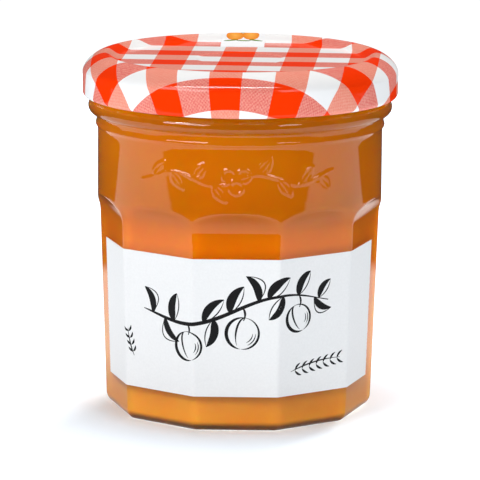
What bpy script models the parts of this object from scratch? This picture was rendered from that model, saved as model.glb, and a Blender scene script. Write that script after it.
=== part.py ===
"""A ten-sided glass jar of jam with a drawn steel lid, a paper label and a paper seal strip.

Metres, +Z up. The origin is the centre of the base that the jar stands on, and -Y is its front.
"""
import math

import bpy

# Glass jar, outside
JAR_HEIGHT = 0.0945
FACETS = 10
CORNER_TO_FLAT = math.cos(math.pi / FACETS)
BASE_CORNER_RADIUS = 0.0333
HEEL_CORNER_RADIUS = 0.0361
HEEL_HEIGHT = 0.0032
FACET_TOP_Z = 0.0533
FACET_TOP_CORNER_RADIUS = 0.0378
RUN_OUT_RADIUS = 0.0090
RUN_OUT_RISE = 0.0085
EDGE_ROUNDING = 0.0009
WALL_RADIUS = 0.0384
WALL_LOW_Z = 0.0560
NECK_RADIUS = 0.03875
NECK_LOW_Z = 0.0780
NECK_STEP = 0.0008
BEAD_RADIUS = 0.0410
BEAD_Z = 0.0827
BEAD_HALF_HEIGHT = 0.00215
FINISH_RADIUS = 0.0392
RIM_ROUNDING = 0.0010
BASE_RING_RADIUS = 0.0270
PUSH_UP_RADIUS = 0.0240
PUSH_UP = 0.0009

# Glass jar, inside
WALL = 0.0024
INNER_RADIUS = WALL_RADIUS - WALL
BASE_THICKNESS = 0.0030
INNER_EDGE_ROUNDING = 0.0030
INNER_HEEL = 0.0030

# Jam
JAM_LEVEL_Z = 0.0900

# Lid
LID_RADIUS = 0.0425
LID_BOTTOM_Z = 0.08535
LID_TOP_Z = 0.0969
LID_SHEET = 0.0004
CREST_RADIUS = 0.0366
SHOULDER_DROP = 0.0049
SHOULDER_POWER = 1.25
PANEL_RADIUS = 0.0330
PANEL_DEPTH = 0.0016
BUTTON_RADIUS = 0.0125
BUTTON_STEP = 0.0010
BUTTON_DEPTH = 0.0003
CURL_RADIUS = 0.0012
CURL_END_ANGLE = -190

# Label and seal strip
PAPER = 0.0003
LABEL_LOW_Z = 0.0097
LABEL_TOP_Z = 0.0470
LABEL_END_Y = -0.0057
STRIP_WIDTH = 0.0120
STRIP_END_Y = 0.0205
STRIP_LOW_Z = 0.0700

GAP = 0.0003
ROUND_STEPS = 64
BEYOND = 0.02


def new_collection(name):
    group = bpy.data.collections.new(name)
    bpy.context.scene.collection.children.link(group)
    return group


def give_finish(thing, name, colour, roughness, metallic=0.0, transmission=0.0):
    material = bpy.data.materials.new(name)
    material.use_nodes = True
    shader = material.node_tree.nodes["Principled BSDF"]
    shader.inputs["Base Color"].default_value = (*colour, 1.0)
    shader.inputs["Roughness"].default_value = roughness
    shader.inputs["Metallic"].default_value = metallic
    shader.inputs["Transmission Weight"].default_value = transmission
    thing.data.materials.append(material)


def oval(centre, half_width, half_height, start, end, steps):
    """Points on an oval's edge, from one angle to another, in degrees from +X."""
    points = []
    for step in range(steps + 1):
        angle = math.radians(start + (end - start) * step / steps)
        points.append((centre[0] + half_width * math.cos(angle),
                       centre[1] + half_height * math.sin(angle)))
    return points


def turned(name, profile, group, steps=ROUND_STEPS, angle=math.tau):
    """A profile of (radius, height) points turned about Z, its outer side listed from top to bottom."""
    mesh = bpy.data.meshes.new(name)
    points = [(radius, 0.0, height) for radius, height in profile]
    mesh.from_pydata(points, [(i, i + 1) for i in range(len(points) - 1)], [])
    thing = bpy.data.objects.new(name, mesh)
    group.objects.link(thing)
    screw = thing.modifiers.new("turn", "SCREW")
    screw.axis = "Z"
    screw.angle = angle
    screw.steps = steps
    screw.render_steps = steps
    screw.use_merge_vertices = True
    screw.merge_threshold = 0.00001
    screw.use_smooth_shade = True
    return thing


def round_corners(thing, width, segments):
    """Round the upright corners between facets, whose sides meet at more than 13 degrees."""
    bevel = thing.modifiers.new("rounded corners", "BEVEL")
    bevel.width = width
    bevel.segments = segments
    bevel.limit_method = "ANGLE"
    bevel.angle_limit = math.radians(13)


def combine(thing, other, operation):
    boolean = thing.modifiers.new(operation.lower(), "BOOLEAN")
    boolean.operation = operation
    boolean.solver = "EXACT"
    boolean.object = other
    other.hide_render = True
    other.display_type = "WIRE"


def faceted(name, inset, low_z, base_inset, heel, group):
    """A ten-sided body: flat base, rounded heel, drafted sides and a hollow flare at their top.

    The sides lie inset inside the jar's outer facets.
    """
    corner_inset = inset / CORNER_TO_FLAT
    outside = WALL_RADIUS + BEYOND
    profile = [(0.0, JAR_HEIGHT + BEYOND), (outside, JAR_HEIGHT + BEYOND)]
    profile.append((outside, FACET_TOP_Z + RUN_OUT_RISE))
    flare_steps = 6
    for step in range(flare_steps, -1, -1):
        rise = RUN_OUT_RISE * step / flare_steps
        flare = RUN_OUT_RADIUS - math.sqrt(RUN_OUT_RADIUS ** 2 - rise ** 2)
        radius = FACET_TOP_CORNER_RADIUS - corner_inset + flare / CORNER_TO_FLAT
        profile.append((radius, FACET_TOP_Z + rise))
    heel_centre = (HEEL_CORNER_RADIUS - corner_inset - base_inset, low_z + heel)
    profile += oval(heel_centre, base_inset, heel, 0, -90, 8)
    profile.append((0.0, low_z))
    return turned(name, profile, group, steps=FACETS)


def make_glass(parts, cutters):
    """The jar: round rim, finish, bead and wall above, ten facets below, hollow to its mouth."""
    profile = [(0.0, JAR_HEIGHT)]
    profile += oval((FINISH_RADIUS - RIM_ROUNDING, JAR_HEIGHT - RIM_ROUNDING),
                    RIM_ROUNDING, RIM_ROUNDING, 90, 0, 3)
    bead_half_width = BEAD_RADIUS - NECK_RADIUS
    profile += oval((NECK_RADIUS, BEAD_Z), bead_half_width, BEAD_HALF_HEIGHT, 70, -86, 11)
    profile += [(NECK_RADIUS, BEAD_Z - BEAD_HALF_HEIGHT - NECK_STEP / 2), (NECK_RADIUS, NECK_LOW_Z)]
    profile += [(WALL_RADIUS + GAP / 3, NECK_LOW_Z - NECK_STEP), (WALL_RADIUS, WALL_LOW_Z)]
    profile += [(WALL_RADIUS, -BEYOND), (BASE_RING_RADIUS, -BEYOND), (BASE_RING_RADIUS, 0.0)]
    profile += [(PUSH_UP_RADIUS, PUSH_UP * 0.8), (0.0, PUSH_UP)]
    glass = turned("jar_glass", profile, parts)

    facets = faceted("cut_facets", 0.0, 0.0, HEEL_CORNER_RADIUS - BASE_CORNER_RADIUS, HEEL_HEIGHT, cutters)
    round_corners(facets, EDGE_ROUNDING, 2)
    combine(glass, facets, "INTERSECT")

    above = JAR_HEIGHT + BEYOND / 2
    mouth = [(INNER_RADIUS + RIM_ROUNDING, above), (INNER_RADIUS + RIM_ROUNDING, JAR_HEIGHT),
             (INNER_RADIUS, JAR_HEIGHT - RIM_ROUNDING)]
    hollow = turned("cut_hollow", [(0.0, above)] + mouth + [(INNER_RADIUS, -BEYOND), (0.0, -BEYOND)], cutters)
    inner_facets = faceted("cut_hollow_facets", WALL, BASE_THICKNESS, INNER_HEEL, INNER_HEEL, cutters)
    round_corners(inner_facets, INNER_EDGE_ROUNDING, 3)
    combine(hollow, inner_facets, "INTERSECT")
    combine(glass, hollow, "DIFFERENCE")
    give_finish(glass, "clear glass", (0.95, 0.97, 0.95), 0.05, transmission=1.0)


def make_jam(parts, cutters):
    """The jam fills the jar's hollow up to its level, just clear of the glass."""
    radius = INNER_RADIUS - GAP
    profile = [(0.0, JAM_LEVEL_Z), (radius, JAM_LEVEL_Z), (radius, -BEYOND), (0.0, -BEYOND)]
    jam = turned("jam", profile, parts)
    facets = faceted("cut_jam_facets", WALL + GAP, BASE_THICKNESS + GAP, INNER_HEEL, INNER_HEEL, cutters)
    round_corners(facets, INNER_EDGE_ROUNDING, 3)
    combine(jam, facets, "INTERSECT")
    give_finish(jam, "orange jam", (0.72, 0.23, 0.02), 0.3)


def lid_outline(lift=0.0):
    """The lid's outer face from the panel's centre to the foot of the skirt, raised off it by lift."""
    panel_z = LID_TOP_Z - PANEL_DEPTH + lift
    button_z = panel_z - BUTTON_DEPTH
    crest_z = LID_TOP_Z + lift
    profile = [(0.0, button_z), (BUTTON_RADIUS - BUTTON_STEP, button_z), (BUTTON_RADIUS, panel_z),
               (PANEL_RADIUS, panel_z)]
    slope_steps = 6
    for step in range(1, slope_steps):
        share = step / slope_steps
        ease = (1 - math.cos(math.pi * share)) / 2
        profile.append((PANEL_RADIUS + (CREST_RADIUS - PANEL_RADIUS) * share,
                        panel_z + (crest_z - panel_z) * ease))
    shoulder_width = LID_RADIUS - CREST_RADIUS + lift
    shoulder_steps = 8
    for step in range(shoulder_steps + 1):
        angle = math.radians(90 * (1 - step / shoulder_steps))
        across = max(math.cos(angle), 0.0) ** SHOULDER_POWER
        profile.append((CREST_RADIUS + shoulder_width * across,
                        crest_z - SHOULDER_DROP * (1 - math.sin(angle) ** SHOULDER_POWER)))
    profile.append((LID_RADIUS + lift, LID_BOTTOM_Z + CURL_RADIUS))
    return profile


def make_lid(parts):
    """The drawn sheet steel lid: sunk panel with a button, raised ring, skirt and curled edge."""
    curl_centre = (LID_RADIUS - CURL_RADIUS, LID_BOTTOM_Z + CURL_RADIUS)
    profile = lid_outline() + oval(curl_centre, CURL_RADIUS, CURL_RADIUS, 0, CURL_END_ANGLE, 8)[1:]
    lid = turned("lid", profile, parts)
    sheet = lid.modifiers.new("sheet", "SOLIDIFY")
    sheet.thickness = LID_SHEET
    sheet.offset = -1.0
    give_finish(lid, "printed steel", (0.80, 0.25, 0.20), 0.3)


def make_label(parts, cutters):
    """Paper wrapped over the five front facets, with its ends part of the way across the last two."""
    draft = (FACET_TOP_CORNER_RADIUS - HEEL_CORNER_RADIUS) / (FACET_TOP_Z - HEEL_HEIGHT)
    profile = []
    for height in (LABEL_TOP_Z, LABEL_LOW_Z):
        corner = HEEL_CORNER_RADIUS + draft * (height - HEEL_HEIGHT)
        profile.append((corner + GAP / CORNER_TO_FLAT, height))
    label = turned("label", profile, parts, steps=FACETS)
    round_corners(label, EDGE_ROUNDING, 2)
    paper = label.modifiers.new("paper", "SOLIDIFY")
    paper.thickness = PAPER
    paper.offset = 1.0
    front = box("cut_label", (-0.1, -0.1, -0.1), (0.1, LABEL_END_Y, 0.1), cutters)
    combine(label, front, "INTERSECT")
    give_finish(label, "label paper", (0.90, 0.91, 0.93), 0.6)


def make_seal_strip(parts, cutters):
    """A narrow paper strip from the lid's panel over its back edge and down onto the jar's wall."""
    wall_face = NECK_RADIUS + GAP
    bead_face = BEAD_RADIUS + GAP
    on_jar = [(bead_face, BEAD_Z), (wall_face, BEAD_Z - 2 * BEAD_HALF_HEIGHT), (wall_face, STRIP_LOW_Z)]
    strip = turned("seal_strip", lid_outline(GAP)[2:] + on_jar, parts)
    paper = strip.modifiers.new("paper", "SOLIDIFY")
    paper.thickness = PAPER
    paper.offset = 1.0
    half = STRIP_WIDTH / 2
    back = box("cut_strip", (-half, STRIP_END_Y, 0.0), (half, 0.1, 0.2), cutters)
    combine(strip, back, "INTERSECT")
    give_finish(strip, "seal paper", (0.92, 0.91, 0.88), 0.6)


def box(name, low, high, group):
    bpy.ops.mesh.primitive_cube_add(size=1.0)
    cube = bpy.context.object
    cube.name = name
    cube.location = [(a + b) / 2 for a, b in zip(low, high)]
    cube.scale = [b - a for a, b in zip(low, high)]
    for old in list(cube.users_collection):
        old.objects.unlink(cube)
    group.objects.link(cube)
    return cube


for thing in list(bpy.data.objects):
    bpy.data.objects.remove(thing, do_unlink=True)
jar_parts = new_collection("jam_jar")
jar_cutters = new_collection("cutters")
make_glass(jar_parts, jar_cutters)
make_jam(jar_parts, jar_cutters)
make_lid(jar_parts)
make_label(jar_parts, jar_cutters)
make_seal_strip(jar_parts, jar_cutters)
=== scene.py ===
"""The looks of a ten-sided glass jar of orange jam with a gingham lid, a paper label and a seal strip."""

import math

import bpy
import numpy as np
from mathutils import Matrix, Vector


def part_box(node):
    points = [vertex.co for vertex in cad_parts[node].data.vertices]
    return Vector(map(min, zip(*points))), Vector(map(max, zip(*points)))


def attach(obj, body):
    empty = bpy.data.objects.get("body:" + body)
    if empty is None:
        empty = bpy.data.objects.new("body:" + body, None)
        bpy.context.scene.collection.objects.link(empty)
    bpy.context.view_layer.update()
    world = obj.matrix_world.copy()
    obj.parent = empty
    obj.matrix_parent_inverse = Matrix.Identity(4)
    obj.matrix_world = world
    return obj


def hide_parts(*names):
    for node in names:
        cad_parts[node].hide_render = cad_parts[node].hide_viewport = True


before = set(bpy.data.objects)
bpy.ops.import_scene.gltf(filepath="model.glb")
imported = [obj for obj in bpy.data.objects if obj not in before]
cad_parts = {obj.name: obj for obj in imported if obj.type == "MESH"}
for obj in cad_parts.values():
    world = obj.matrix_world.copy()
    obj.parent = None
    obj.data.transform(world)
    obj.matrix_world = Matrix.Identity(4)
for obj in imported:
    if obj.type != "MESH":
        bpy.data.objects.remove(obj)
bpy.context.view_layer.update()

# Glass jar
# A pressed and blown jar of clear soda-lime glass. Ten flat facets stand on a rounded heel and run out
# in hollow arcs into a round wall, which ends in a neck with a bead under the lid. Sizes are in mm.
MM = 0.001
JAR_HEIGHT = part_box("jar_glass")[1].z / MM
FACETS = 10
FACET_ANGLE = math.tau / FACETS
CORNER_TO_FLAT = math.cos(FACET_ANGLE / 2)
WALL_RADIUS = 38.4
WALL_THICKNESS = 2.4
NECK_RADIUS = 38.75
NECK_LOW = 77.9
BEAD_RADIUS = 41.0
BEAD_HEIGHT = 82.7
BEAD_HALF = 2.15
FINISH_RADIUS = 39.2
BASE_CORNER = 33.3
HEEL_CORNER = 36.1
HEEL_HEIGHT = 3.2
FACET_TOP = 53.3
FACET_TOP_CORNER = 37.8
RUN_OUT_RADIUS = 9.0
RUN_OUT_RISE = 8.5
FACETS_END = 62.0
OUTER_ROUNDING = 0.007
OUTER_JOINT = 0.3
INNER_ROUNDING = 0.03
INNER_JOINT = 0.8
FLOOR_HEIGHT = 1.8
FLOOR_MIDDLE = 30.0
INNER_HEEL = 1.2
PUSH_UP = 0.9
JAR_STEPS = 280
CROWDING = 0.7


def arc(centre, half_width, half_height, start, end, steps):
    """Points on an oval's edge, from one angle to another, in degrees from the outward direction."""
    angles = [math.radians(start + (end - start) * i / steps) for i in range(steps + 1)]
    return [(centre[0] + half_width * math.cos(a), centre[1] + half_height * math.sin(a)) for a in angles]


def levels(high, low, spacing):
    """Heights from high down to low, about spacing apart."""
    count = max(1, round((high - low) / spacing))
    return [high + (low - high) * i / count for i in range(count + 1)]


def turn(name, outline, steps):
    """Draws an outline of (radius, height) in mm point by point and spins it about the upright axis."""
    bpy.ops.object.select_all(action="DESELECT")
    bpy.ops.mesh.primitive_plane_add(size=MM, location=(outline[0][0] * MM, 0, outline[0][1] * MM))
    piece = bpy.context.object
    piece.name = name
    bpy.ops.object.transform_apply(location=True)
    bpy.ops.object.mode_set(mode="EDIT")
    bpy.ops.mesh.select_mode(type="VERT")
    bpy.ops.mesh.merge(type="CENTER")
    for here, there in zip(outline, outline[1:]):
        step = ((there[0] - here[0]) * MM, 0, (there[1] - here[1]) * MM)
        bpy.ops.mesh.extrude_region_move(TRANSFORM_OT_translate={"value": step})
    bpy.ops.mesh.select_all(action="SELECT")
    bpy.ops.mesh.spin(steps=steps, angle=math.tau, center=(0, 0, 0), axis=(0, 0, 1))
    bpy.ops.mesh.select_all(action="SELECT")
    bpy.ops.mesh.remove_doubles(threshold=0.002 * MM)
    bpy.ops.mesh.normals_make_consistent(inside=False)
    bpy.ops.object.mode_set(mode="OBJECT")
    bpy.ops.object.shade_smooth()
    return piece


def read_points(piece):
    """The piece's points in mm, one row each."""
    points = np.empty(len(piece.data.vertices) * 3)
    piece.data.vertices.foreach_get("co", points)
    return points.reshape(-1, 3) / MM


def write_points(piece, points):
    """Moves the piece's points to these places in mm."""
    piece.data.vertices.foreach_set("co", (points * MM).ravel())
    piece.data.update()


def select_faces(piece, wanted):
    """Selects the faces whose centre, in mm, passes the test, and leaves the piece in edit mode."""
    bpy.ops.object.select_all(action="DESELECT")
    bpy.context.view_layer.objects.active = piece
    piece.select_set(True)
    bpy.ops.object.mode_set(mode="EDIT")
    bpy.ops.mesh.select_mode(type="FACE")
    bpy.ops.mesh.select_all(action="DESELECT")
    bpy.ops.object.mode_set(mode="OBJECT")
    for face in piece.data.polygons:
        face.select = wanted(face.center / MM, face.normal)
    bpy.ops.object.mode_set(mode="EDIT")


def facet_distance(height, inset=0.0, floor=0.0, heel_inset=HEEL_CORNER - BASE_CORNER, heel=HEEL_HEIGHT):
    """How far the flat of a facet stands from the axis at each height: heel, drafted side, hollow flare."""
    draft = (FACET_TOP_CORNER - HEEL_CORNER) / (FACET_TOP - HEEL_HEIGHT)
    corner = HEEL_CORNER + draft * (np.minimum(height, FACET_TOP) - HEEL_HEIGHT) - inset / CORNER_TO_FLAT
    below = np.clip((floor + heel - height) / heel, 0, 1)
    corner = corner - heel_inset * (1 - np.sqrt(1 - below ** 2))
    rise = np.clip(height - FACET_TOP, 0, RUN_OUT_RISE)
    return corner * CORNER_TO_FLAT + RUN_OUT_RADIUS - np.sqrt(RUN_OUT_RADIUS ** 2 - rise ** 2)


def facet_reach(angle, distance, rounding):
    """The radius at an angle from the front where the nearest facet lies, its corners slightly rounded."""
    off = np.abs(angle - FACET_ANGLE * np.round(angle / FACET_ANGLE))
    near, far = np.cos(off), np.cos(FACET_ANGLE - off)
    blend = np.clip(rounding - (near - far), 0, None) / rounding
    return distance / (near + blend ** 2 * rounding / 4)


def softer_minimum(one, other, width):
    """The smaller of two distances, with the corner where they cross rounded over a width."""
    blend = np.clip(width - np.abs(one - other), 0, None) / width
    return np.minimum(one, other) - blend ** 2 * width / 4


def press_facets(points, pressed, distance, rounding, joint):
    """Crowds the points towards the facets' corners, and draws the pressed ones in to the facets."""
    radius = np.hypot(points[:, 0], points[:, 1])
    angle = np.arctan2(points[:, 0], -points[:, 1])
    angle += FACET_ANGLE * CROWDING * np.sin(math.tau * angle / FACET_ANGLE) / math.tau
    reach = facet_reach(angle, distance, rounding)
    radius = np.where(pressed, softer_minimum(radius, reach, joint), radius)
    return np.stack([radius * np.sin(angle), -radius * np.cos(angle), points[:, 2]], 1)


# The outside from the rim down: the finish inside the lid, the bead, the neck with the mould's faint
# step, the wall, the heel, the ring it stands on, and the push-up.
jar_outline = [(WALL_RADIUS - WALL_THICKNESS + 1.0, JAR_HEIGHT)]
jar_outline += arc((FINISH_RADIUS - 1.0, JAR_HEIGHT - 1.0), 1.0, 1.0, 90, 0, 5)
jar_outline += [(FINISH_RADIUS, 88.0)]
jar_outline += arc((NECK_RADIUS, BEAD_HEIGHT), BEAD_RADIUS - NECK_RADIUS, BEAD_HALF, 78, -82, 18)
jar_outline += [(NECK_RADIUS + 0.12, 80.40), (NECK_RADIUS + 0.03, 80.15), (NECK_RADIUS, 79.8)]
jar_outline += [(NECK_RADIUS, 79.2), (NECK_RADIUS + 0.02, 78.8), (NECK_RADIUS + 0.10, 78.5)]
jar_outline += [(NECK_RADIUS + 0.22, 78.2), (NECK_RADIUS + 0.25, NECK_LOW), (NECK_RADIUS + 0.16, 77.6)]
jar_outline += [(WALL_RADIUS + 0.25, 77.3), (WALL_RADIUS + 0.10, 77.0), (WALL_RADIUS + 0.04, 76.6)]
jar_outline += [(WALL_RADIUS, z) for z in levels(76.0, 61.0, 1.0)]
jar_outline += [(WALL_RADIUS, z) for z in levels(60.7, 52.6, 0.3)]
jar_outline += [(WALL_RADIUS, z) for z in levels(51.0, HEEL_HEIGHT + 0.5, 4.0)]
jar_outline += [(WALL_RADIUS, HEEL_HEIGHT * (1 - math.sin(math.radians(a)))) for a in range(0, 91, 7)][:-1]
jar_outline += [(WALL_RADIUS, 0.0), (27.6, 0.0), (26.6, 0.06), (25.6, 0.3), (24.6, 0.62), (23.4, 0.8)]
jar_outline += [(0.0, PUSH_UP)]
# The inside from the floor up. The floor is thin, so that the jam's colour shows right down to the foot.
jar_inside = [(0.0, FLOOR_HEIGHT)]
jar_inside += [(WALL_RADIUS - WALL_THICKNESS, FLOOR_HEIGHT + INNER_HEEL * (1 - math.cos(math.radians(a))))
               for a in range(0, 91, 10)]
jar_inside += [(WALL_RADIUS - WALL_THICKNESS, z) for z in levels(51.0, 11.0, 5.0)[::-1]]
jar_inside += [(WALL_RADIUS - WALL_THICKNESS, z) for z in levels(61.5, 52.5, 0.5)[::-1]]
jar_inside += [(WALL_RADIUS - WALL_THICKNESS, z) for z in (66, 72, 78, 84, 90, JAR_HEIGHT - 1.0)]
jar_inside += [(WALL_RADIUS - WALL_THICKNESS + 0.3, JAR_HEIGHT - 0.3)]
jar = turn("jar_clear_glass", jar_outline + jar_inside + [jar_outline[0]], JAR_STEPS)

# A vine in low relief runs across the front of the wall: a stem, leaves and berries.
VINE_HEIGHT = 68.6
VINE_REACH = 27.0
VINE_SWING = 1.5
VINE_WAVE = 3.6
BERRY_RADIUS = 1.7
VINE_LINE = 0.42
VINE_RELIEF = 0.32
VINE_BAND = (61.5, 75.2)
VINE_BAND_ANGLE = 0.85


def leaf_line(base, tip, width, steps=18):
    """A closed leaf outline with its midrib, as points from base to tip and back."""
    run = np.subtract(tip, base)
    side = np.array([-run[1], run[0]]) / np.hypot(*run)
    points = []
    for i in range(steps + 1):
        share = i / steps
        points.append(np.add(base, run * share) + side * width * math.sin(math.pi * share ** 0.85))
    for i in range(steps, -1, -1):
        share = i / steps
        points.append(np.add(base, run * share) - side * width * math.sin(math.pi * share ** 0.85))
    points += [np.add(base, run * i / steps * 0.8) for i in range(steps + 1)]
    return points


def dense(points, spacing):
    """The same line with points no more than spacing apart."""
    result = [np.array(points[0], float)]
    for here, there in zip(points, points[1:]):
        here, there = np.array(here, float), np.array(there, float)
        count = max(1, math.ceil(np.hypot(*(there - here)) / spacing))
        result += [here + (there - here) * (i + 1) / count for i in range(count)]
    return result


def stem(across):
    """The point of the vine's stem at a distance across the wall."""
    return (across, VINE_HEIGHT + VINE_SWING * math.sin(across / VINE_WAVE))


vine_lines = [[stem(across) for across in np.linspace(-VINE_REACH, VINE_REACH, 120)]]
for place, lean in ((-23, 1), (-17.5, -1), (-11.5, 1), (-6, -1), (6, 1), (11.5, -1), (17.5, 1), (23, -1)):
    foot = stem(place)
    vine_lines.append(leaf_line(foot, (foot[0] + 3.2, foot[1] + lean * 4.2), 1.25))
for place, lift in ((-1.9, 1.2), (1.9, 1.2), (0, -2.0)):
    vine_lines.append([(place + BERRY_RADIUS * math.cos(a), VINE_HEIGHT + lift + BERRY_RADIUS * math.sin(a))
                       for a in np.linspace(0, math.tau, 30)])
vine_points = np.array([p for line in vine_lines for p in dense(line, 0.2)])


def on_vine_band(centre, normal):
    """Whether a face lies on the stretch of the outer wall that carries the vine."""
    across = WALL_RADIUS * math.atan2(centre.x, -centre.y)
    outside = math.hypot(centre.x, centre.y) > WALL_RADIUS - 0.5
    return outside and abs(across) < VINE_REACH + 2 and VINE_BAND[0] < centre.z < VINE_BAND[1]


select_faces(jar, on_vine_band)
bpy.ops.mesh.subdivide(number_cuts=3)
bpy.ops.object.mode_set(mode="OBJECT")
points = read_points(jar)
radius = np.hypot(points[:, 0], points[:, 1])
angle = np.arctan2(points[:, 0], -points[:, 1])
height = points[:, 2]
band = (radius > WALL_RADIUS - 0.5) & (height > VINE_BAND[0] - 0.3) & (height < VINE_BAND[1] + 0.4)
band &= abs(angle) < VINE_BAND_ANGLE
points[band, 0:2] *= (WALL_RADIUS / radius[band])[:, None]
outer = (radius > WALL_RADIUS - 1) & (height < FACETS_END)
inner = (radius < WALL_RADIUS - 1) & (radius > FLOOR_MIDDLE)
inner &= (height > FLOOR_HEIGHT - 0.1) & (height < FACETS_END)
outer_distance = facet_distance(height)
inner_distance = facet_distance(height, WALL_THICKNESS, FLOOR_HEIGHT, INNER_HEEL, INNER_HEEL)
points = press_facets(points, outer, outer_distance, OUTER_ROUNDING, OUTER_JOINT)
radius = np.hypot(points[:, 0], points[:, 1])
angle = np.arctan2(points[:, 0], -points[:, 1])
inner_reach = facet_reach(angle, inner_distance, INNER_ROUNDING)
inner_radius = softer_minimum(radius, inner_reach, INNER_JOINT)
points[inner, 0:2] *= (inner_radius / radius)[inner, None]
relief = np.zeros(len(points))
for index in np.nonzero(band)[0]:
    away = vine_points - (WALL_RADIUS * angle[index], points[index, 2])
    nearest = math.sqrt((away ** 2).sum(1).min())
    relief[index] = VINE_RELIEF * math.exp(-(nearest / VINE_LINE) ** 4)
points[:, 0:2] *= (1 + relief / radius.clip(1))[:, None]
write_points(jar, points)


def srgb(code):
    """A colour from its sRGB hex value, turned to linear, with alpha."""
    parts = [int(code[i:i + 2], 16) / 255 for i in (1, 3, 5)]
    return [p / 12.92 if p <= 0.04045 else ((p + 0.055) / 1.055) ** 2.4 for p in parts] + [1.0]


def new_material(name, piece):
    """A new material in the piece's next slot, with an empty node tree, which it returns."""
    material = bpy.data.materials.new(name)
    material.use_nodes = True
    material.node_tree.nodes.clear()
    piece.data.materials.append(material)
    return material.node_tree


def add_node(tree, kind, inputs=None, ramp=(), **options):
    """A shader node with its options. An input takes a value, or (node, output) for a link, and ramp
    lists a colour ramp's stops from low to high, as (position, colour)."""
    node = tree.nodes.new("ShaderNode" + kind)
    for option, value in options.items():
        setattr(node, option, value)
    for socket, value in (inputs or {}).items():
        if isinstance(value, tuple) and isinstance(value[0], bpy.types.Node):
            tree.links.new(value[0].outputs[value[1]], node.inputs[socket])
        else:
            node.inputs[socket].default_value = value
    for _ in ramp[2:]:
        node.color_ramp.elements.new(1.0)
    for i, (position, code) in enumerate(ramp):
        node.color_ramp.elements[i].position = position
        node.color_ramp.elements[i].color = srgb(code)
    return node


# Soda-lime glass, IOR 1.52, smooth from the mould, with a faint waviness about every 9 mm that bends its
# reflections. Shadow rays pass straight through, so that the jam behind it is lit.
RIPPLE = 9.09
tree = new_material("soda_lime_glass", jar)
place = add_node(tree, "TexCoord")
ripple = add_node(tree, "TexNoise", {"Vector": (place, "Object"), "Scale": 1 / (RIPPLE * MM), "Detail": 1.0})
wave = add_node(tree, "Bump", {"Height": (ripple, "Fac"), "Strength": 0.05, "Distance": 0.3 * MM})
glass = add_node(tree, "BsdfPrincipled", {
    "Base Color": srgb("#FCFEFB"), "Transmission Weight": 1.0, "IOR": 1.52, "Roughness": 0.0,
    "Normal": (wave, "Normal")})
clear = add_node(tree, "BsdfTransparent", {"Color": srgb("#FAFCF9")})
path = add_node(tree, "LightPath")
both = add_node(tree, "MixShader", {0: (path, "Is Shadow Ray"), 1: (glass, "BSDF"), 2: (clear, "BSDF")})
add_node(tree, "OutputMaterial", {"Surface": (both, "Shader")})
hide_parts("jar_glass")
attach(jar, "root")

# Jam
# Orange fruit jam that fills the jar up to its level. It reaches a hair into the inner wall, so that
# no film of air lies between the two, as none does in a filled jar.
JAM_OVERLAP = 0.15
JAM_LEVEL = 90.0
JAM_RADIUS = WALL_RADIUS - WALL_THICKNESS + JAM_OVERLAP
jam_floor = FLOOR_HEIGHT - JAM_OVERLAP
jam_outline = [(0.0, JAM_LEVEL), (JAM_RADIUS, JAM_LEVEL)]
jam_outline += [(JAM_RADIUS, z) for z in (84, 78, 72, 66)]
jam_outline += [(JAM_RADIUS, z) for z in levels(61.5, 52.5, 0.5)]
jam_outline += [(JAM_RADIUS, z) for z in levels(51.0, 11.0, 5.0)]
jam_outline += [(JAM_RADIUS, jam_floor + INNER_HEEL * (1 - math.cos(math.radians(a))))
                for a in range(90, -1, -10)]
jam_outline += [(0.0, jam_floor)]
jam = turn("jam_filling", jam_outline, 200)
points = read_points(jam)
sides = (np.hypot(points[:, 0], points[:, 1]) > FLOOR_MIDDLE) & (points[:, 2] < FACETS_END)
distance = facet_distance(points[:, 2], WALL_THICKNESS - JAM_OVERLAP, jam_floor, INNER_HEEL, INNER_HEEL)
write_points(jam, press_facets(points, sides, distance, INNER_ROUNDING, INNER_JOINT))

# Set jam with fruit pulp: cloudy, so light enters it and glows back orange. Its colour drifts a little
# with the pulp, every 15 mm or so. Its colour by height is painted light and shade: paler low down, as
# painted light from the table, browner just above the facets' arcs, as painted shade from the lid, and
# dark brown underneath, as painted shade where it lies in its own shade.
PULP = 15.385
tree = new_material("fruit_jam", jam)
place = add_node(tree, "TexCoord")
parts = add_node(tree, "SeparateXYZ", {"Vector": (place, "Object")})
climb = add_node(tree, "MapRange", {"Value": (parts, "Z"), "From Min": 1.6 * MM, "From Max": 78 * MM})
# The stops by height are the jam's orange with painted light low down and painted shade above and below.
body = add_node(tree, "ValToRGB", {"Fac": (climb, "Result")}, ramp=(
    (0.0, "#54300E"), (0.01, "#E0952A"), (0.63, "#D77302"), (0.76, "#AE6202"), (1.0, "#C16D02")))
pulp = add_node(tree, "TexNoise", {"Vector": (place, "Object"), "Scale": 1 / (PULP * MM), "Detail": 3.0})
cloud = add_node(tree, "MapRange", {"Value": (pulp, "Fac"), "From Min": 0.35, "From Max": 0.75,
                                    "To Min": 0.0, "To Max": 0.3})
mixed = add_node(tree, "Mix", {"Factor": (cloud, "Result"), 6: (body, "Color"), 7: srgb("#CC6000")},
                 data_type="RGBA")
surface = add_node(tree, "BsdfPrincipled", {
    "Base Color": (mixed, 2), "Roughness": 0.6, "Specular IOR Level": 0.0,
    "Subsurface Weight": 0.8, "Subsurface Radius": (1.0, 0.4, 0.1), "Subsurface Scale": 5 * MM})
add_node(tree, "OutputMaterial", {"Surface": (surface, "BSDF")})
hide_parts("jam")
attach(jam, "root")

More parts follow.
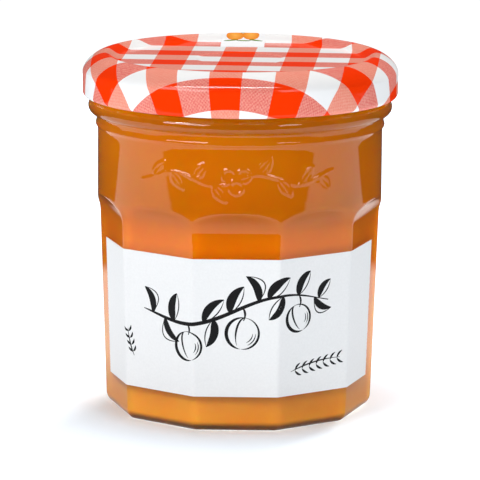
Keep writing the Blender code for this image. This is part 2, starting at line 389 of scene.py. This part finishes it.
# Lid
# Tinplate, printed flat with a gingham cloth pattern, varnished, then drawn to a cap with a raised
# ring, a round shoulder and a curled edge. A safety button stands in the middle of its sunk panel.
LID_RADIUS = 42.5
LID_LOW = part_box("lid")[0].z / MM
LID_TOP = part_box("lid")[1].z / MM
LID_SHEET = 0.3
CREST_RADIUS = 36.6
SHOULDER_DROP = 4.9
SHOULDER_POWER = 1.25
PANEL_RADIUS = 33.0
PANEL = LID_TOP - 1.6
BUTTON_RADIUS = 12.5
BUTTON_DROP = 0.25
CURL_RADIUS = 1.2

lid_outline = [(0.0, PANEL - BUTTON_DROP), (5.0, PANEL - BUTTON_DROP), (9.0, PANEL - BUTTON_DROP)]
for i in range(9):
    share = i / 8
    lid_outline.append((BUTTON_RADIUS - 1.5 + 1.5 * share,
                        PANEL - BUTTON_DROP * (1 + math.cos(math.pi * share)) / 2))
lid_outline += [(r, PANEL) for r in (14, 18, 24, 29, PANEL_RADIUS - 0.4)]
for i in range(16):
    share = i / 16
    lid_outline.append((PANEL_RADIUS + (CREST_RADIUS - PANEL_RADIUS) * share,
                        PANEL + (LID_TOP - PANEL) * (1 - math.cos(math.pi * share)) / 2))
for i in range(33):
    bend = math.radians(90 * (1 - i / 32))
    lid_outline.append((CREST_RADIUS + (LID_RADIUS - CREST_RADIUS) * max(math.cos(bend), 0) ** SHOULDER_POWER,
                        LID_TOP - SHOULDER_DROP * (1 - math.sin(bend) ** SHOULDER_POWER)))
lid_outline += [(LID_RADIUS, z) for z in (90.5, 89.0, 87.6)]
lid_outline += arc((LID_RADIUS - CURL_RADIUS, LID_LOW + CURL_RADIUS), CURL_RADIUS, CURL_RADIUS, 0, -200, 16)
lid = turn("lid_gingham_cap", lid_outline, 256)

# The print was made on the flat sheet, so each point keeps its place on that sheet as a UV map. Drawing
# keeps the sheet's area, so the disc inside a point on the cap has the area it had when flat.
UV_SPAN = 100.0
outline = np.array(lid_outline)
steps_along = np.hypot(*np.diff(outline, axis=0).T)
mean_radius = (outline[1:, 0] + outline[:-1, 0]) / 2
flat_radius = np.sqrt(np.concatenate([[0], np.cumsum(2 * mean_radius * steps_along)]))
points = read_points(lid)
lid_radius = np.hypot(points[:, 0], points[:, 1])
nearest = np.array([((outline - (r, z)) ** 2).sum(1).argmin() for r, z in zip(lid_radius, points[:, 2])])
stretch = flat_radius[nearest] / lid_radius.clip(1e-6) / UV_SPAN
flat_map = lid.data.uv_layers.new(name="flat_sheet")
for loop in lid.data.loops:
    x, y, z = points[loop.vertex_index]
    scale = stretch[loop.vertex_index]
    flat_map.data[loop.index].uv = (x * scale, y * scale)

solid = lid.modifiers.new("sheet", "SOLIDIFY")
solid.thickness = LID_SHEET * MM
solid.offset = -1.0
solid.material_offset = 1
solid.material_offset_rim = 1
bpy.ops.object.select_all(action="DESELECT")
lid.select_set(True)
bpy.context.view_layer.objects.active = lid
bpy.ops.object.modifier_apply(modifier="sheet")

# Printed and varnished tinplate. The cloth pattern has 8.7 mm squares, red where two red bands cross
# and flecked pink where one does; its threads are 0.5 mm apart and uneven every 0.4 mm. The varnish
# gives it a clear gloss with a slight orange peel, about every 1.2 mm.
SQUARE = 8.7
THREAD = 0.5
SLUB = 0.3625
PEEL = 1.243
CLOTH_TURN = 2.8
CLOTH_SHIFT = (0.314, 0.799, 0.0)
tree = new_material("varnished_gingham_tinplate", lid)
flat = add_node(tree, "UVMap", uv_map="flat_sheet")
cloth = add_node(tree, "Mapping", {
    "Vector": (flat, "UV"), "Location": CLOTH_SHIFT, "Rotation": (0, 0, math.radians(CLOTH_TURN)),
    "Scale": (UV_SPAN / SQUARE / 2, UV_SPAN / SQUARE / 2, 1.0)})
along = add_node(tree, "SeparateXYZ", {"Vector": (cloth, "Vector")})
bands = []
for axis in ("X", "Y"):
    part = add_node(tree, "Math", {0: (along, axis)}, operation="FRACT")
    bands.append(add_node(tree, "Math", {0: (part, "Value"), 1: 0.5}, operation="LESS_THAN"))
threads = add_node(tree, "TexChecker", {
    "Vector": (cloth, "Vector"), "Scale": 2 * SQUARE / THREAD,
    "Color1": (1, 1, 1, 1), "Color2": (0, 0, 0, 1)})
slub = add_node(tree, "TexNoise", {"Vector": (cloth, "Vector"), "Scale": 2 * SQUARE / SLUB, "Detail": 2.0})
fleck = add_node(tree, "Mix", {"Factor": 0.85, 6: (threads, "Color"), 7: (slub, "Color")}, data_type="RGBA")
pinks = []
for light, dark in (("#F8AA94", "#F18470"), ("#F4A494", "#E4645A")):
    pinks.append(add_node(tree, "ValToRGB", {"Fac": (fleck, 2)}, ramp=((0.3, light), (0.7, dark))))
crossing = add_node(tree, "Math", {0: (bands[0], "Value"), 1: (bands[1], "Value")}, operation="MULTIPLY")
ground = add_node(tree, "Mix", {"Factor": (bands[0], "Value"), 6: srgb("#F9F8F7"), 7: (pinks[0], "Color")},
                  data_type="RGBA")
pink = add_node(tree, "Mix", {"Factor": (bands[1], "Value"), 6: (ground, 2), 7: (pinks[1], "Color")},
                data_type="RGBA")
print_colour = add_node(tree, "Mix", {"Factor": (crossing, "Value"), 6: (pink, 2), 7: srgb("#FF3800")},
                        data_type="RGBA")
peel = add_node(tree, "TexNoise", {"Vector": (cloth, "Vector"), "Scale": 2 * SQUARE / PEEL, "Detail": 1.0})
peel_bump = add_node(tree, "Bump", {"Height": (peel, "Fac"), "Strength": 0.04, "Distance": 0.3 * MM})
surface = add_node(tree, "BsdfPrincipled", {
    "Base Color": (print_colour, 2), "Roughness": 0.5, "Specular IOR Level": 0.0,
    "Coat Weight": 0.5, "Coat Roughness": 0.06, "Coat IOR": 1.5,
    "Normal": (peel_bump, "Normal"), "Coat Normal": (peel_bump, "Normal")})
add_node(tree, "OutputMaterial", {"Surface": (surface, "BSDF")})

# Food-safe lacquer inside the cap: an off-white baked film, slightly uneven every 2.5 mm.
LACQUER = 2.5
tree = new_material("white_lacquered_tinplate", lid)
place = add_node(tree, "TexCoord")
film = add_node(tree, "TexNoise", {"Vector": (place, "Object"), "Scale": 1 / (LACQUER * MM), "Detail": 2.0})
film_tone = add_node(tree, "ValToRGB", {"Fac": (film, "Fac")}, ramp=((0.0, "#E6E2D8"), (1.0, "#F4F1EA")))
surface = add_node(tree, "BsdfPrincipled", {"Base Color": (film_tone, "Color"), "Roughness": 0.4})
add_node(tree, "OutputMaterial", {"Surface": (surface, "BSDF")})
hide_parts("lid")
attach(lid, "root")

# Paper label
# White machine-coated paper, glued round the front five facets, with its ends on the next two. It is
# stiff enough to lie flat on each facet and to fold sharply over the corners between them.
LABEL_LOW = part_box("label")[0].z / MM
LABEL_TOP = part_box("label")[1].z / MM
LABEL_PAPER = 0.12
GLUE = 0.03
LABEL_END_ANGLE = math.radians(80.8)
FACET_WIDTH = 2 * float(facet_distance(np.array((LABEL_LOW + LABEL_TOP) / 2))) * math.tan(FACET_ANGLE / 2)


def on_facets(across, height, lift):
    """Where a point of the flat paper, across mm from its middle, comes to lie round the facets."""
    facet = np.round(across / FACET_WIDTH)
    off = across / FACET_WIDTH - facet
    angle = facet * FACET_ANGLE + np.arctan(2 * off * math.tan(FACET_ANGLE / 2))
    reach = facet_reach(angle, facet_distance(height) + lift, OUTER_ROUNDING)
    return np.stack([reach * np.sin(angle), -reach * np.cos(angle), height], -1)


end_off = math.tan(LABEL_END_ANGLE - 2 * FACET_ANGLE) / (2 * math.tan(FACET_ANGLE / 2))
LABEL_HALF = (2 + end_off) * FACET_WIDTH
bpy.ops.object.select_all(action="DESELECT")
bpy.ops.mesh.primitive_grid_add(x_subdivisions=260, y_subdivisions=12, size=1.0)
label = bpy.context.object
label.name = "label_paper"
share = read_points(label) * MM
across = share[:, 0] * 2 * LABEL_HALF
height = (LABEL_LOW + LABEL_TOP) / 2 + share[:, 1] * (LABEL_TOP - LABEL_LOW)
write_points(label, on_facets(across, height, GLUE))
bpy.ops.object.mode_set(mode="EDIT")
bpy.ops.mesh.select_all(action="SELECT")
bpy.ops.mesh.normals_make_consistent(inside=False)
bpy.ops.object.mode_set(mode="OBJECT")
if sum(face.normal.y for face in label.data.polygons) > 0:
    label.data.flip_normals()
sheet = label.modifiers.new("paper", "SOLIDIFY")
sheet.thickness = LABEL_PAPER * MM
sheet.offset = 1.0
bpy.ops.object.modifier_apply(modifier="paper")
bpy.ops.object.shade_smooth_by_angle(angle=math.radians(40))

# Coated label paper: smooth and nearly matt, with fibres that show faintly every 0.6 mm.
COATED_FIBRE = 0.625
tree = new_material("coated_label_paper", label)
place = add_node(tree, "TexCoord")
fibre = add_node(tree, "TexNoise", {
    "Vector": (place, "Object"), "Scale": 1 / (COATED_FIBRE * MM), "Detail": 4.0})
paper_tone = add_node(tree, "ValToRGB", {"Fac": (fibre, "Fac")}, ramp=((0.3, "#E7E6E5"), (0.7, "#EBEAE9")))
tooth = add_node(tree, "Bump", {"Height": (fibre, "Fac"), "Strength": 0.05, "Distance": 0.03 * MM})
surface = add_node(tree, "BsdfPrincipled", {
    "Base Color": (paper_tone, "Color"), "Roughness": 0.62, "Specular IOR Level": 0.25,
    "Normal": (tooth, "Normal")})
add_node(tree, "OutputMaterial", {"Surface": (surface, "BSDF")})
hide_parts("label")
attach(label, "root")

# Drawing on the label
# A bough with fruit and leaves, and a small sprig on either side, printed in black ink from a drawing
# made with a soft brush pen, so each stroke swells and thins out.
INK = 0.02
PEN_STEP = 0.25
ink_lines = bpy.data.curves.new("label_ink", "CURVE")
ink_lines.dimensions = "3D"
ink_lines.bevel_depth = MM
ink_lines.bevel_resolution = 2
ink_lines.use_fill_caps = True


def bow(start, end, lift, steps=16):
    """A bowed line from start to end, lifted to its left by a share of its length."""
    run = np.subtract(end, start)
    side = np.array([-run[1], run[0]])
    return [np.add(start, run * t) + side * lift * 4 * t * (1 - t) for t in np.linspace(0, 1, steps + 1)]


def stroke(line, widest, fullest=0.5, thinnest=0.15):
    """A pen stroke along a line, widest at a share of its length and thin at its ends."""
    line = dense(line, PEN_STEP)
    spline = ink_lines.splines.new("POLY")
    spline.points.add(len(line) - 1)
    bend = math.log(0.5) / math.log(fullest)
    for i, place in enumerate(line):
        swell = math.sin(math.pi * (i / (len(line) - 1)) ** bend) ** 0.7
        spline.points[i].co = (place[0] * MM, place[1] * MM, 0, 1)
        spline.points[i].radius = widest / 2 * max(swell, thinnest)


def brush_leaf(foot, tip, width, lift):
    """A leaf in one pressed stroke and a fine edge line beside it."""
    stroke(bow(foot, tip, lift), width, 0.42, 0.06)
    stroke(bow(foot, tip, lift - 0.30), 0.34, 0.5, 0.3)


def fruit(centre, size, lean):
    """A round fruit: its outline in two strokes, the crease down its side and two curved hatches."""
    turn_by = math.radians(lean)

    def rim(start, end, share, across=1.0):
        angles = np.radians(np.linspace(start, end, 40))
        x, y = size * share * across * np.cos(angles), size * share * np.sin(angles)
        return [(centre[0] + a * math.cos(turn_by) - b * math.sin(turn_by),
                 centre[1] + a * math.sin(turn_by) + b * math.cos(turn_by)) for a, b in zip(x, y)]

    stroke(rim(84, 268, 1.0), 0.95, 0.55)
    stroke(rim(96, -88, 1.0), 0.60, 0.6)
    stroke(rim(92, 236, 0.98, 0.42), 0.55, 0.4)
    for share in (0.80, 0.62):
        stroke(rim(-62, 8, share), 0.30, 0.5)


def bough(across):
    """The point of the bough's line at a distance across the label."""
    return (across, 33.2 + 2.7 * math.sin(across / 7.5) + 0.10 * across)


stroke([bough(u) for u in np.linspace(-27.5, 27.0, 90)], 1.05, 0.35, 0.25)
for foot, reach, rise, width in (
        (-24.5, -2.6, 6.6, 2.1), (-20.5, 4.6, -6.0, 1.9), (-17.5, 1.0, 7.6, 2.4), (-8.5, 5.4, 6.2, 2.2),
        (-6.0, -1.8, -7.4, 2.2), (-1.5, 3.6, 7.2, 2.5), (6.0, -3.4, 6.8, 2.1), (8.5, 6.2, 5.4, 2.3),
        (12.5, -3.8, -6.4, 2.0), (17.5, 3.6, 6.2, 2.2), (22.5, 5.6, -3.4, 1.9), (24.0, 3.6, 4.8, 1.8)):
    base = bough(foot)
    brush_leaf(base, (base[0] + reach, base[1] + rise), width, 0.16 if reach * rise > 0 else -0.16)
for place, size, lean, hang in ((-13.0, 3.9, 18, -6.0), (1.8, 4.3, -8, -7.0), (17.6, 3.7, 24, -6.2)):
    top = bough(place)
    fruit((top[0], top[1] + hang), size, lean)
    stroke(bow(top, (top[0] + 0.2, top[1] + hang + size * 0.8), 0.15), 0.6, 0.4, 0.5)

SPRIGS = (((15.5, 16.2), (31.5, 18.4), 7, 2.6), ((-31.3, 18.2), (-33.2, 25.4), 4, 1.9))
for start, end, leaves, leaf in SPRIGS:
    run = np.subtract(end, start)
    forward = run / np.hypot(*run)
    sideways = np.array([-forward[1], forward[0]])
    stroke(bow(start, end, 0.05), 0.40, 0.4, 0.4)
    for i in range(leaves):
        base = np.add(start, run * (i + 0.6) / leaves)
        for side in (-1, 1):
            tip = base + forward * leaf * 0.75 + sideways * side * leaf * 0.65
            stroke(bow(base, tip, 0.12 * side), 0.62, 0.45, 0.1)

bpy.ops.object.select_all(action="DESELECT")
ink = bpy.data.objects.new("label_ink_drawing", ink_lines)
bpy.context.collection.objects.link(ink)
bpy.context.view_layer.objects.active = ink
ink.select_set(True)
bpy.ops.object.convert(target="MESH")
ink = bpy.context.object
points = read_points(ink)
height_of_ink = GLUE + LABEL_PAPER + INK * np.sign(points[:, 2]) * (np.abs(points[:, 2]) > 0.01)
write_points(ink, on_facets(points[:, 0], points[:, 1], height_of_ink))
bpy.ops.object.mode_set(mode="EDIT")
bpy.ops.mesh.select_all(action="SELECT")
bpy.ops.mesh.remove_doubles(threshold=0.001 * MM)
bpy.ops.mesh.normals_make_consistent(inside=False)
bpy.ops.object.mode_set(mode="OBJECT")
bpy.ops.object.shade_smooth_by_angle(angle=math.radians(40))

# Black offset printing ink: a thin matt film, a little uneven every 0.8 mm, where the paper drinks it.
SOAK = 0.8333
tree = new_material("black_printing_ink", ink)
place = add_node(tree, "TexCoord")
soak = add_node(tree, "TexNoise", {"Vector": (place, "Object"), "Scale": 1 / (SOAK * MM), "Detail": 3.0})
ink_tone = add_node(tree, "ValToRGB", {"Fac": (soak, "Fac")}, ramp=((0.0, "#060608"), (1.0, "#17171A")))
surface = add_node(tree, "BsdfPrincipled", {
    "Base Color": (ink_tone, "Color"), "Roughness": 0.6, "Specular IOR Level": 0.2})
add_node(tree, "OutputMaterial", {"Surface": (surface, "BSDF")})
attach(ink, "root")

# Seal strip
# A narrow strip of white uncoated paper, glued from the lid's panel over its back edge and down to the
# glass, so that it tears when the lid is first turned. It follows the curve of whatever is under it.
STRIP_WIDTH = 12.0
STRIP_PAPER = 0.12
STRIP_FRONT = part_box("seal_strip")[0].y / MM
STRIP_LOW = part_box("seal_strip")[0].z / MM
path_points = [(r, z) for r, z in lid_outline if STRIP_FRONT < r and z > LID_LOW + CURL_RADIUS * 0.9]
path_points = [(STRIP_FRONT, PANEL)] + path_points
path_points += [(BEAD_RADIUS + 0.6, 84.2), (BEAD_RADIUS + 0.1, 82.9), (BEAD_RADIUS - 0.5, 81.4)]
path_points += [(NECK_RADIUS + 0.5, 79.6), (NECK_RADIUS + 0.3, 77.8), (WALL_RADIUS + 0.05, 76.0)]
path_points += [(WALL_RADIUS, 73.0), (WALL_RADIUS, STRIP_LOW)]
rows = dense(path_points, 0.5)
bpy.ops.object.select_all(action="DESELECT")
bpy.ops.mesh.primitive_grid_add(x_subdivisions=24, y_subdivisions=len(rows) - 1, size=1.0)
strip = bpy.context.object
strip.name = "seal_strip_paper"
share = read_points(strip) * MM
row = np.round((share[:, 1] + 0.5) * (len(rows) - 1)).astype(int)
path_line = np.array(rows)
STRIP_LENGTH = float(np.hypot(*np.diff(path_line, axis=0).T).sum())
run = np.gradient(path_line, axis=0)
run /= np.hypot(run[:, 0], run[:, 1])[:, None]
lifted = path_line + np.stack([-run[:, 1], run[:, 0]], 1) * GLUE
across = share[:, 0] * STRIP_WIDTH
# On the sunk panel the strip's rows are straight; from the panel's edge on they curve round with the lid.
curve_in = np.clip((lifted[row, 0] - STRIP_FRONT) / (PANEL_RADIUS - STRIP_FRONT), 0, 1)
back = np.sqrt(lifted[row, 0] ** 2 - curve_in * across ** 2)
write_points(strip, np.stack([across, back, lifted[row, 1]], 1))
if sum(face.normal.z for face in strip.data.polygons) < 0:
    strip.data.flip_normals()
sheet = strip.modifiers.new("paper", "SOLIDIFY")
sheet.thickness = STRIP_PAPER * MM
sheet.offset = 1.0
bpy.ops.object.modifier_apply(modifier="paper")
bpy.ops.object.shade_smooth_by_angle(angle=math.radians(40))

# Uncoated paper: matt, with fibres that show every 1.1 mm. Fruit and leaves are printed on it in orange
# and green, once on the panel's edge and once on the skirt.
UNCOATED_FIBRE = 1.111
tree = new_material("uncoated_seal_paper", strip)
place = add_node(tree, "TexCoord")
fibre = add_node(tree, "TexNoise", {
    "Vector": (place, "Object"), "Scale": 1 / (UNCOATED_FIBRE * MM), "Detail": 4.0})
paper_tone = add_node(tree, "ValToRGB", {"Fac": (fibre, "Fac")}, ramp=((0.0, "#F1F1F2"), (1.0, "#FBFBFC")))
flat = add_node(tree, "UVMap", uv_map="UVMap")
paper = add_node(tree, "Mapping", {"Vector": (flat, "UV"), "Location": (-STRIP_WIDTH / 2, 0.0, 0.0),
                                   "Scale": (STRIP_WIDTH, STRIP_LENGTH, 1.0)})
printed = (paper_tone, "Color")
ORANGE = ("#FFB650", "#EE861C")
GREEN = ("#7FA63C", "#3F6E22")
MOTIF = ((-2.3, 0.6, 2.4, 2.9, 0, ORANGE), (2.1, 1.0, 2.3, 3.0, 0, ORANGE),
         (-3.4, -3.2, 2.2, 0.9, 24, GREEN), (0.1, -3.7, 2.0, 0.9, -8, GREEN),
         (3.5, -3.0, 2.1, 0.9, -28, GREEN), (0.2, 3.9, 0.8, 1.7, -20, GREEN))
MOTIF_PLACES = (13.0, 29.0)
for middle in MOTIF_PLACES:
    for across, along, half_width, half_length, lean, (core, edge) in MOTIF:
        spot = add_node(tree, "Mapping", {
            "Vector": (paper, "Vector"), "Location": (across, middle + along, 0.0),
            "Rotation": (0, 0, math.radians(lean)), "Scale": (half_width, half_length, 1.0)},
            vector_type="TEXTURE")
        reach = add_node(tree, "VectorMath", {0: (spot, "Vector")}, operation="LENGTH")
        tone = add_node(tree, "ValToRGB", {"Fac": (reach, "Value")}, ramp=((0.0, core), (1.0, edge)))
        inside = add_node(tree, "Math", {0: (reach, "Value"), 1: 1.0}, operation="LESS_THAN")
        spot_mix = add_node(tree, "Mix", {"Factor": (inside, "Value"), 6: printed, 7: (tone, "Color")},
                            data_type="RGBA")
        printed = (spot_mix, 2)
surface = add_node(tree, "BsdfPrincipled", {
    "Base Color": printed, "Roughness": 0.7, "Specular IOR Level": 0.2})
add_node(tree, "OutputMaterial", {"Surface": (surface, "BSDF")})
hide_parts("seal_strip")
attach(strip, "root")

# Studio
# A white table under soft light: two lamps in front, left and right, a small one behind that lights but
# isn't mirrored, and a long strip above the front that is only mirrored. The air is white behind the jar
# and dim in reflections, as in a dark room with a white backdrop.
FLOOR_SPAN = 1.2
FLOOR_DROP = 0.05 * MM
GRAIN = 25.0
bpy.ops.object.select_all(action="DESELECT")
bpy.ops.mesh.primitive_plane_add(size=FLOOR_SPAN, location=(0, 0, -FLOOR_DROP))
floor = bpy.context.object
floor.name = "table"
bpy.ops.object.transform_apply(location=True)
# White laminate, faintly clouded every 25 mm, tinted faintly blue against the orange light bounced from
# the jam. It has a painted glow, as a light table would, weaker close to the jar: a painted shadow round
# the jar's foot.
tree = new_material("white_laminate_table", floor)
place = add_node(tree, "TexCoord")
grain = add_node(tree, "TexNoise", {"Vector": (place, "Object"), "Scale": 1 / (GRAIN * MM), "Detail": 2.0})
tone = add_node(tree, "ValToRGB", {"Fac": (grain, "Fac")}, ramp=((0.0, "#ECF1F5"), (1.0, "#EFF4F8")))
away = add_node(tree, "VectorMath", {0: (place, "Object")}, operation="LENGTH")
# Painted shadow: the table's painted glow fades within about 7 cm of the jar's axis.
glow_with_painted_shadow = add_node(tree, "MapRange", {"Value": (away, "Value"), "From Min": 0.031, "From Max": 0.072,
                                          "To Min": 0.12, "To Max": 0.65}, interpolation_type="SMOOTHSTEP")
surface = add_node(tree, "BsdfPrincipled", {
    "Base Color": (tone, "Color"), "Roughness": 0.9, "Specular IOR Level": 0.1,
    "Emission Color": srgb("#E6F2FF"), "Emission Strength": (glow_with_painted_shadow, "Result")})
# A painted reflection: rays mirrored off the glass see the table as a glow, bright in a stretch round the
# jar which ends 14.5 cm behind it and 19 cm in front of it, a little further out at the sides, and dimmer
# close to the jar as painted shade. Beyond it the table is nearly dark in reflections.
LIT_BACK = 0.145
LIT_FRONT = -0.190
LIT_FADE = 0.010
UNLIT = 0.04
parts = add_node(tree, "SeparateXYZ", {"Vector": (place, "Object")})
sideways = add_node(tree, "Math", {0: (parts, "X")}, operation="ABSOLUTE")
forward = add_node(tree, "Math", {0: (sideways, "Value"), 1: 0.10, 2: (parts, "Y")}, operation="MULTIPLY_ADD")
lit_back = add_node(tree, "MapRange", {"Value": (parts, "Y"), "From Min": LIT_BACK - LIT_FADE,
                                       "From Max": LIT_BACK + LIT_FADE, "To Min": 1.0, "To Max": 0.0},
                    interpolation_type="SMOOTHSTEP")
lit_front = add_node(tree, "MapRange", {"Value": (forward, "Value"), "From Min": LIT_FRONT - LIT_FADE,
                                        "From Max": LIT_FRONT + LIT_FADE, "To Min": 0.0, "To Max": 1.0},
                     interpolation_type="SMOOTHSTEP")
reflection_painted_shade = add_node(tree, "MapRange", {"Value": (away, "Value"), "From Min": 0.036, "From Max": 0.100,
                                       "To Min": 0.35, "To Max": 1.10}, interpolation_type="SMOOTHSTEP")
lit_strip = add_node(tree, "Math", {0: (lit_back, "Result"), 1: (lit_front, "Result")}, operation="MULTIPLY")
lit = add_node(tree, "Math", {0: (lit_strip, "Value"), 1: (reflection_painted_shade, "Result"), 2: UNLIT},
               operation="MULTIPLY_ADD")
# The painted reflection itself: a glow that only glossy rays off the glass see.
mirrored = add_node(tree, "Emission", {"Color": srgb("#FFFFFF"), "Strength": (lit, "Value")})
path = add_node(tree, "LightPath")
straight = add_node(tree, "Math", {0: 1.0, 1: (path, "Is Transmission Ray")}, operation="SUBTRACT")
off_glass = add_node(tree, "Math", {0: (path, "Is Glossy Ray"), 1: (straight, "Value")}, operation="MULTIPLY")
both = add_node(tree, "MixShader", {0: (off_glass, "Value"), 1: (surface, "BSDF"), 2: (mirrored, "Emission")})
add_node(tree, "OutputMaterial", {"Surface": (both, "Shader")})


def softbox(name, location, aim, width, height, power):
    """A white rectangular light that shines towards a point and isn't itself seen by the camera."""
    bpy.ops.object.light_add(type="AREA", location=location)
    light = bpy.context.object
    light.name = name
    light.data.shape = "RECTANGLE"
    light.data.size = width
    light.data.size_y = height
    light.data.energy = power
    light.rotation_euler = (Vector(aim) - Vector(location)).to_track_quat("-Z", "Y").to_euler()
    light.visible_camera = False
    return light


jar_middle = (0, 0, 0.05)
softbox("left_key", (-0.79, -0.85, 0.72), jar_middle, 0.80, 0.40, 8.2)
softbox("right_key", (0.76, -0.86, 0.72), jar_middle, 0.40, 0.35, 2.4)
top_back = softbox("top_back", (0.30, 0.60, 0.90), jar_middle, 0.30, 0.30, 7.4)
top_back.visible_glossy = False
gloss_strip = softbox("gloss_strip", (-0.26, -0.62, 1.12), (-0.26, 0.0, 0.09), 1.50, 0.09, 17.0)
gloss_strip.visible_diffuse = False
gloss_strip.visible_transmission = False

# How bright the air is: as soft light on things, in reflections, and seen directly or through the glass.
FILL = 0.30
MIRRORED_ROOM = 0.07
BACKDROP = 1.05
world = bpy.data.worlds.new("studio_air")
bpy.context.scene.world = world
world.use_nodes = True
tree = world.node_tree
tree.nodes.clear()
path = add_node(tree, "LightPath")
room = add_node(tree, "Mix", {0: (path, "Is Glossy Ray"), 2: FILL, 3: MIRRORED_ROOM}, data_type="FLOAT")
through = add_node(tree, "Math", {0: (path, "Is Camera Ray"), 1: (path, "Is Transmission Ray")},
                   operation="MAXIMUM")
air = add_node(tree, "Mix", {0: (through, "Value"), 2: (room, 0), 3: BACKDROP}, data_type="FLOAT")
sky = add_node(tree, "Background", {"Color": srgb("#FFFFFF"), "Strength": (air, 0)})
add_node(tree, "OutputWorld", {"Surface": (sky, "Background")})

# Camera
# It stands 1.1 m away, 11 degrees above the middle of the jar and 1.2 degrees round from the front
# facet. A long lens fills the frame with the jar, and a slight roll gives it the photograph's lean.
CAMERA_REACH = 1.100
CAMERA_HEIGHT = 0.2568
CAMERA_ROUND = math.radians(1.24)
CAMERA_AIM = Vector((0.0002, 0.0, 0.0454))
CAMERA_ROLL = math.radians(0.41)
CAMERA_LENS = 309.3
stand = Vector((CAMERA_REACH * math.sin(CAMERA_ROUND), -CAMERA_REACH * math.cos(CAMERA_ROUND), CAMERA_HEIGHT))
bpy.ops.object.camera_add(location=stand)
camera = bpy.context.object
camera.data.sensor_width = 36.0
camera.data.lens = CAMERA_LENS
camera.data.clip_start = 0.05
camera.data.clip_end = 10.0
gaze = (CAMERA_AIM - stand).to_track_quat("-Z", "Y").to_matrix()
camera.rotation_euler = (gaze @ Matrix.Rotation(CAMERA_ROLL, 3, "Z")).to_euler()
bpy.context.scene.camera = camera
bpy.context.scene.view_settings.view_transform = "Standard"
